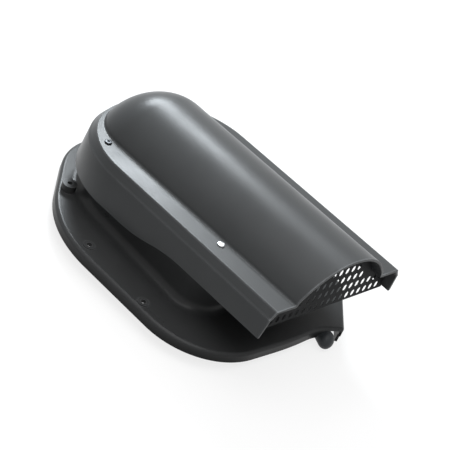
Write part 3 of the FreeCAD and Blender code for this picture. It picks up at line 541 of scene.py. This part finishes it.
    def barrel(self, hood):
        """Arch spun into the dome, and joined to the mouth's arch by the barrel."""
        piece = self.arch(hood, hood.dome_side, hood.dome_centre)
        bpy.ops.mesh.select_all(action="SELECT")
        bpy.ops.mesh.spin(steps=self.ARC, angle=math.pi, center=(0, hood.dome_centre, 0),
                          axis=(0, 0, -1))
        bpy.ops.mesh.select_all(action="SELECT")
        bpy.ops.mesh.remove_doubles(threshold=NEAR)
        bpy.ops.transform.resize(value=(1, 2 * hood.dome_depth / hood.barrel_width, 1),
                                 center_override=(0, hood.dome_centre, 0))
        bpy.ops.object.mode_set(mode="OBJECT")
        mouth = self.arch(hood, hood.mouth_side, self.front(hood))
        bpy.ops.object.mode_set(mode="OBJECT")
        add_modifier(mouth, "MIRROR")
        only(piece)
        mouth.select_set(True)
        bpy.ops.object.join()
        edit(piece)
        ends = (hood.dome_centre, self.front(hood))
        choose(piece, "edges",
               lambda e: any(every(e, lambda p: abs(p.y - end) < NEAR) for end in ends))
        bpy.ops.mesh.bridge_edge_loops(number_cuts=self.RUN - 1, interpolation="LINEAR")
        bpy.ops.object.mode_set(mode="OBJECT")
        return piece

    def join(self, hood, skirt, barrel):
        """Bridge barrel and skirt with the ledge, cut the mouth, add the wall, round the edges."""
        only(skirt)
        barrel.select_set(True)
        bpy.ops.object.join()
        piece = skirt
        edit(piece)
        choose(piece, "edges", lambda e: e.is_boundary and every(e, lambda p: abs(p.z) < NEAR))
        bpy.ops.mesh.bridge_edge_loops()
        bpy.ops.mesh.select_all(action="SELECT")
        bpy.ops.mesh.remove_doubles(threshold=NEAR)
        bpy.ops.mesh.normals_make_consistent(inside=False)
        bpy.ops.mesh.select_all(action="SELECT")
        bpy.ops.mesh.bisect(plane_co=(0, -hood.mouth_reach, 0),
                            plane_no=(0, -math.cos(hood.mouth_rake), -math.sin(hood.mouth_rake)),
                            clear_outer=True)
        bpy.ops.object.mode_set(mode="OBJECT")
        add_modifier(piece, "SOLIDIFY", thickness=hood.wall, offset=-1.0, use_even_offset=True,
                     use_quality_normals=True)
        edit(piece)
        self.round_loops(hood, piece)
        add_modifier(piece, "BEVEL", width=hood.edge_round, segments=2, limit_method="ANGLE",
                     angle_limit=self.SHARP)
        edit(piece)
        bpy.ops.mesh.select_all(action="SELECT")
        bpy.ops.mesh.remove_doubles(threshold=NEAR)
        bpy.ops.mesh.dissolve_degenerate(threshold=NEAR)
        only(piece)
        bpy.ops.object.shade_smooth_by_angle(angle=self.SMOOTH)
        return piece

    def round_loops(self, hood, piece):
        """Round the barrel's root, the ledge's edge and the step."""
        half_ledge, half_barrel = hood.ledge_width / 2, hood.barrel_width / 2

        def on_ledge_edge(p):
            out = Vector((p.x, max(p.y - hood.ledge_back, 0))).length
            return abs(p.z) < NEAR and abs(out - half_ledge) < self.LEDGE_SLACK

        def on_root(p):
            aside = p.x / half_barrel
            behind = max(p.y - hood.dome_centre, 0) / hood.dome_depth
            out = Vector((aside, behind)).length
            return abs(p.z) < NEAR and abs(out - 1) < self.ROOT_SLACK

        choose(piece, "edges", lambda e: every(e, on_root))
        bpy.ops.mesh.bevel(offset=hood.barrel_root, segments=5, affect="EDGES", clamp_overlap=False)
        choose(piece, "edges", lambda e: every(e, on_ledge_edge))
        bpy.ops.mesh.bevel(offset=hood.ledge_round, segments=4, affect="EDGES", clamp_overlap=False)
        tread = hood.step_drop - hood.step_tread_drop
        for depth in (tread, hood.step_drop):
            choose(piece, "edges", lambda e: every(e, lambda p: abs(p.z + depth) < NEAR))
            bpy.ops.mesh.bevel(offset=hood.edge_round, segments=2, affect="EDGES",
                               clamp_overlap=False)


class VENT_OT_base(Operator):
    """Finish the flange and collar in black moulded plastic"""

    bl_idname = "vent.base"
    bl_label = "Base"

    def execute(self, context):
        colour = tuple(context.scene.vent_finish.base_colour)
        # The base gets painted shade on its rim and spigot below the rim's top, and paler edges
        # that are partly wear, partly painted highlight.
        plastic = moulded_plastic("base_plastic", colour, gloss=0.31, grain=1200.0,
                                  wear_and_highlight_colour=(0.07, 0.072, 0.074), shine=0.12, painted_shade_heights=(0.015, 0.0235))
        dress(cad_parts["base"], plastic)
        return {"FINISHED"}


class VENT_OT_grille(Operator):
    """Thin the slotted plate in the mouth to a sheet of dull black plastic"""

    bl_idname = "vent.grille"
    bl_label = "Mouth grille"

    SMOOTH = math.radians(20)

    def execute(self, context):
        grille, hood = context.scene.vent_grille, context.scene.vent_hood
        piece = self.sheet(grille, hood.mouth_rake - hood.pitch)
        colour = tuple(context.scene.vent_finish.grille_colour)
        dress(piece, moulded_plastic("grille_plastic", colour, gloss=0.6, grain=1500.0,
                                     wear_and_highlight_colour=(0.012, 0.013, 0.014), shine=0.08))
        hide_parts("mouth_grille")
        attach(piece, "root")
        return {"FINISHED"}

    def sheet(self, grille, lean):
        """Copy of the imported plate, stood upright, thinned about its middle and leant back."""
        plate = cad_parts["mouth_grille"]
        piece = bpy.data.objects.new("grille_sheet", plate.data.copy())
        bpy.context.collection.objects.link(piece)
        piece.matrix_world = plate.matrix_world
        settle(piece, Matrix.Rotation(lean, 4, "X"))
        across = [vertex.co.y for vertex in piece.data.vertices]
        near, far = min(across), max(across)
        edit(piece)
        bpy.ops.mesh.select_all(action="SELECT")
        bpy.ops.mesh.customdata_custom_splitnormals_clear()
        bpy.ops.mesh.remove_doubles(threshold=MM / 1000)
        bpy.ops.transform.resize(value=(1, grille.thickness / (far - near), 1),
                                 center_override=(0, (near + far) / 2, 0))
        only(piece)
        settle(piece, Matrix.Rotation(-lean, 4, "X"))
        bpy.ops.object.shade_smooth_by_angle(angle=self.SMOOTH)
        return piece


class VENT_OT_buffer(Operator):
    """Model the round-ended buffer under the front corner in dark rubber"""

    bl_idname = "vent.buffer"
    bl_label = "Corner buffer"

    DOME = 0.97
    BACK_ROUND = 0.15
    SMOOTH = math.radians(30)

    def execute(self, context):
        piece = self.rod(context.scene.vent_buffer)
        piece.name = "buffer_rod"
        colour = tuple(context.scene.vent_finish.rubber_colour)
        dress(piece, moulded_plastic("buffer_rubber", colour, gloss=0.5, grain=900.0,
                                     wear_and_highlight_colour=(0.04, 0.044, 0.048), shine=0.3))
        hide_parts("corner_buffer")
        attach(piece, "root")
        return {"FINISHED"}

    def rod(self, buffer):
        """Rod along the slope with a domed front end and a narrower back end."""
        middle = (buffer.front + buffer.back) / 2
        bpy.ops.object.select_all(action="DESELECT")
        bpy.ops.mesh.primitive_cylinder_add(vertices=48, radius=buffer.radius,
                                            depth=buffer.back - buffer.front,
                                            location=(buffer.aside, middle, buffer.height),
                                            rotation=(math.pi / 2, 0, 0))
        piece = bpy.context.object
        settle(piece, Matrix())
        edit(piece)
        choose(piece, "verts", lambda v: abs(v.co.y - buffer.back) < NEAR)
        shrink_to = (buffer.aside + buffer.pull, buffer.back, buffer.height + buffer.pull)
        bpy.ops.transform.resize(value=(buffer.taper, 1, buffer.taper), center_override=shrink_to)
        choose(piece, "edges", lambda e: every(e, lambda p: abs(p.y - buffer.front) < NEAR))
        bpy.ops.mesh.bevel(offset=self.DOME * buffer.radius, segments=12, affect="EDGES")
        choose(piece, "edges", lambda e: every(e, lambda p: abs(p.y - buffer.back) < NEAR))
        bpy.ops.mesh.bevel(offset=self.BACK_ROUND * buffer.radius, segments=3, affect="EDGES")
        bpy.ops.mesh.select_all(action="SELECT")
        bpy.ops.mesh.normals_make_consistent(inside=False)
        only(piece)
        bpy.ops.object.shade_smooth_by_angle(angle=self.SMOOTH)
        return piece


class VENT_OT_screws(Operator):
    """Model one low-headed screw and set four of them in the ledge"""

    bl_idname = "vent.screws"
    bl_label = "Hood screws"

    RIM_ROUND = 0.5
    SOCKET_DEPTH = 0.6
    SMOOTH = math.radians(30)

    def execute(self, context):
        screws, finish = context.scene.vent_screws, context.scene.vent_finish
        bright = plated_steel("bright_plating", tuple(finish.plating_colour))
        dull = plated_steel("dull_plating", tuple(finish.dull_plating_colour))
        first = self.screw(screws)
        copies = []
        for (x, y), plating in ((screws.front_place, bright), (screws.rear_place, dull)):
            for side in (-1, 1):
                only(first)
                bpy.ops.object.duplicate()
                copy = bpy.context.object
                settle(copy, Matrix.Translation((side * x, y, 0)))
                dress(copy, plating)
                copies.append(copy)
        only(first)
        bpy.ops.object.delete()
        only(copies[0])
        for copy in copies:
            copy.select_set(True)
        bpy.ops.object.join()
        piece = bpy.context.object
        piece.name = "ledge_screws"
        settle(piece, hood_place(context.scene.vent_hood))
        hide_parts("hood_screws")
        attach(piece, "root")
        return {"FINISHED"}

    def screw(self, screws):
        """Head with a rounded rim and a round drive socket, on its shank."""
        top, radius = screws.head_height, screws.head / 2
        bpy.ops.object.select_all(action="DESELECT")
        bpy.ops.mesh.primitive_cylinder_add(vertices=32, radius=radius, depth=top,
                                            location=(0, 0, top / 2))
        piece = bpy.context.object
        settle(piece, Matrix())
        edit(piece)
        choose(piece, "edges", lambda e: every(e, lambda p: p.z > top - NEAR))
        bpy.ops.mesh.bevel(offset=self.RIM_ROUND * top, segments=4, affect="EDGES")
        choose(piece, "faces", lambda f: every(f, lambda p: p.z > top - NEAR))
        bpy.ops.mesh.inset(thickness=radius - self.RIM_ROUND * top - screws.socket / 2)
        down = (0, 0, -self.SOCKET_DEPTH * top)
        bpy.ops.mesh.extrude_region_move(TRANSFORM_OT_translate={"value": down})
        choose(piece, "faces", lambda f: every(f, lambda p: p.z < NEAR))
        bpy.ops.mesh.inset(thickness=radius - screws.shank / 2)
        bpy.ops.mesh.extrude_region_move(TRANSFORM_OT_translate={"value": (0, 0, -screws.length)})
        bpy.ops.mesh.select_all(action="SELECT")
        bpy.ops.mesh.normals_make_consistent(inside=False)
        only(piece)
        bpy.ops.object.shade_smooth_by_angle(angle=self.SMOOTH)
        return piece


class VENT_OT_stage(Operator):
    """Set the floor, the lamps, the sky and the camera"""

    bl_idname = "vent.stage"
    bl_label = "Stage"

    FLOOR_SIZE = 14.0
    SENSOR = 36.0
    COOL = (0.88, 0.95, 1.0)
    PALE = (0.92, 0.97, 1.0)
    WHITE = (1.0, 1.0, 1.0)

    def execute(self, context):
        stage = context.scene.vent_stage
        self.floor(stage)
        self.sky(context.scene, stage)
        self.lamp("key_softbox", place=stage.key_place, target=(0.0, 0.06, 0.11),
                  extent=(stage.key_width, stage.key_length), power=stage.key_power,
                  colour=self.COOL)
        self.lamp("rear_softbox", place=(0.9, 0.95, 1.6), target=(0.0, 0.0, 0.1),
                  extent=(0.8, 0.8), power=stage.rear_power, colour=self.PALE)
        self.lamp("top_softbox", place=(-0.3, -0.1, 2.2), target=(0.0, 0.0, 0.1),
                  extent=(2.4, 2.4), power=stage.top_power, colour=self.WHITE)
        self.lamp("fill_softbox", place=(-0.8, -0.6, 1.2), target=(0.0, 0.0, 0.05),
                  extent=(0.8, 0.8), power=stage.fill_power, colour=self.WHITE)
        self.camera(context, stage)
        context.scene.view_settings.view_transform = "Standard"
        return {"FINISHED"}

    def seen(self, nodes):
        """1 for rays to the eye, straight or mirrored, and 0 for light that falls on the vent."""
        path = nodes.add("ShaderNodeLightPath")
        total = path.outputs["Is Camera Ray"]
        for name in ("Is Glossy Ray", "Is Transmission Ray"):
            joined = nodes.add("ShaderNodeMath", operation="MAXIMUM")
            nodes.feed(joined.inputs[0], total)
            nodes.feed(joined.inputs[1], path.outputs[name])
            total = joined.outputs["Value"]
        return total

    def floor(self, stage):
        """White floor that takes part of its white from its own glow and so keeps a soft shadow."""
        bpy.ops.object.select_all(action="DESELECT")
        bpy.ops.mesh.primitive_plane_add(size=self.FLOOR_SIZE, location=(0, 0, 0))
        floor = bpy.context.object
        floor.name = "floor"
        material = bpy.data.materials.new("pale_floor")
        nodes = Nodes(material)
        seen = self.seen(nodes)
        lit = nodes.add("ShaderNodeBsdfDiffuse", Color=tuple(stage.floor_bounce) + (1.0,))
        dimmed = tuple((1 - stage.floor_glow) * c for c in stage.floor_colour)
        shade = nodes.add("ShaderNodeBsdfDiffuse", Color=dimmed + (1.0,))
        glow = nodes.add("ShaderNodeEmission", Color=(1, 1, 1, 1), Strength=stage.floor_glow)
        white = nodes.add("ShaderNodeAddShader")
        nodes.feed(white.inputs[0], shade.outputs["BSDF"])
        nodes.feed(white.inputs[1], glow.outputs["Emission"])
        both = nodes.add("ShaderNodeMixShader", Fac=seen)
        nodes.feed(both.inputs[1], lit.outputs["BSDF"])
        nodes.feed(both.inputs[2], white.outputs["Shader"])
        nodes.add("ShaderNodeOutputMaterial", Surface=both.outputs["Shader"])
        dress(floor, material)

    def sky(self, scene, stage):
        """Even light on the vent, seen as plain white."""
        scene.world = bpy.data.worlds.new("studio")
        nodes = Nodes(scene.world)
        strength = nodes.add("ShaderNodeMapRange", Value=self.seen(nodes),
                             From_Min=0.0, From_Max=1.0, To_Min=stage.sky, To_Max=1.0)
        background = nodes.add("ShaderNodeBackground", Color=(1, 1, 1, 1),
                               Strength=strength.outputs["Result"])
        nodes.add("ShaderNodeOutputWorld", Surface=background.outputs["Background"])

    def lamp(self, name, place, target, extent, power, colour):
        """Softbox turned to a target, with its width across the vent."""
        facing = (Vector(place) - Vector(target)).normalized()
        wide = Vector((0, 1, 0)).cross(facing).normalized()
        bpy.ops.object.light_add(type="AREA")
        lamp = bpy.context.object
        lamp.name = name
        lamp.data.shape = "RECTANGLE"
        lamp.data.size, lamp.data.size_y = extent
        lamp.data.energy = power
        lamp.data.color = colour
        lamp.visible_camera = False
        lamp.matrix_world = self.turned(wide, facing.cross(wide), facing, place)

    def turned(self, wide, tall, back, place):
        """Matrix of a lamp or camera from its own axes and its place."""
        columns = Matrix((wide, tall, back)).transposed().to_4x4()
        return Matrix.Translation(place) @ columns

    def camera(self, context, stage):
        """Camera turned and placed as the photo's was."""
        hood = context.scene.vent_hood
        az, el = stage.azimuth, stage.elevation
        right = Vector((math.cos(az), math.sin(az), 0))
        back = Vector((math.sin(az) * math.cos(el), -math.cos(az) * math.cos(el), math.sin(el)))
        up = back.cross(right)
        wide = math.cos(stage.roll) * right + math.sin(stage.roll) * up
        tall = math.cos(stage.roll) * up - math.sin(stage.roll) * right
        aim = Vector((0, hood.flange_centre, stage.aim_height))
        place = aim + stage.distance * back + stage.aside * wide + stage.above * tall
        bpy.ops.object.camera_add()
        camera = bpy.context.object
        camera.name = "photo_camera"
        camera.matrix_world = self.turned(wide, tall, back, place)
        camera.data.lens = stage.lens
        camera.data.sensor_width = self.SENSOR
        context.scene.camera = camera


class VENT_PT_panel(Panel):
    """Buttons that build the vent"""

    bl_idname = "VENT_PT_panel"
    bl_label = "Roof tile vent"
    bl_space_type = "VIEW_3D"
    bl_region_type = "UI"
    bl_category = "Vent"

    def draw(self, context):
        for operator in OPERATORS:
            self.layout.operator(operator.bl_idname)


OPERATORS = (VENT_OT_base, VENT_OT_hood, VENT_OT_grille, VENT_OT_screws, VENT_OT_buffer,
             VENT_OT_stage)
GROUPS = {
    "vent_hood": VentHoodSettings,
    "vent_grille": VentGrilleSettings,
    "vent_screws": VentScrewSettings,
    "vent_buffer": VentBufferSettings,
    "vent_finish": VentFinishSettings,
    "vent_stage": VentStageSettings,
}


def register():
    for item in (*GROUPS.values(), *OPERATORS, VENT_PT_panel):
        bpy.utils.register_class(item)
    for name, group in GROUPS.items():
        setattr(bpy.types.Scene, name, PointerProperty(type=group))


def unregister():
    for name in GROUPS:
        delattr(bpy.types.Scene, name)
    for item in (VENT_PT_panel, *reversed(OPERATORS), *GROUPS.values()):
        bpy.utils.unregister_class(item)


def main():
    register()
    for name in ("base", "hood", "grille", "screws", "buffer", "stage"):
        getattr(bpy.ops.vent, name)()


if __name__ == "__main__":
    main()
